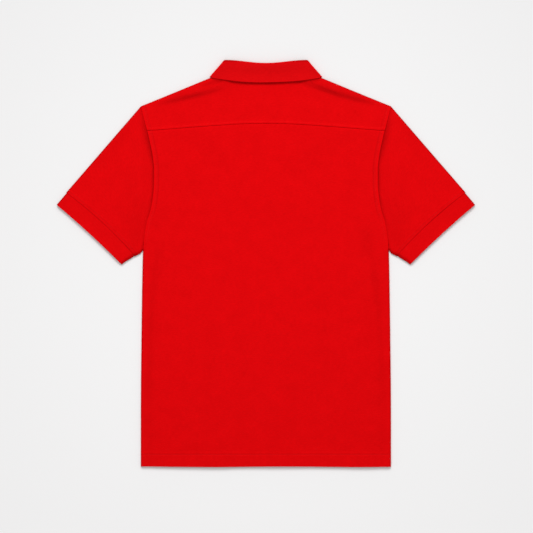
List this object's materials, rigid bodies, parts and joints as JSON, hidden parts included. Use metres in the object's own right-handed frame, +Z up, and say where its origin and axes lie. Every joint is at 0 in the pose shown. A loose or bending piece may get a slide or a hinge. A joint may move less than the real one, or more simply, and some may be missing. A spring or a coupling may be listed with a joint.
{
  "type": "polo shirt",
  "caption": "Plain short-sleeved polo shirt laid flat on its front, back up, with a folded collar, back yoke, set-in sleeves and sewn cuff bands.",
  "frame": {"origin": "centre of the shirt's outline on the surface that it lies on: on the centre line, half way from the hem to the collar's fold", "axes": "+Z up out of the shirt's back, +Y from the hem to the collar, +X towards the wearer's right sleeve"},
  "size_m": [0.7772, 0.755, 0.0094],
  "materials": {
    "cloth": "matt red pique knit",
    "collar_knit": "matt red flat knit",
    "thread": "red sewing thread",
    "button_plastic": "polished, dyed to match"
  },
  "bodies": {
    "root": {"back": "cloth", "yoke": "cloth", "front": "cloth", "sleeve_left": "cloth", "sleeve_right": "cloth", "cuff_left": "cloth", "cuff_right": "cloth", "collar": "collar_knit", "placket_upper": "cloth", "placket_lower": "cloth", "button_1": "button_plastic", "button_2": "button_plastic", "button_3": "button_plastic"}
  },
  "joints": []
}
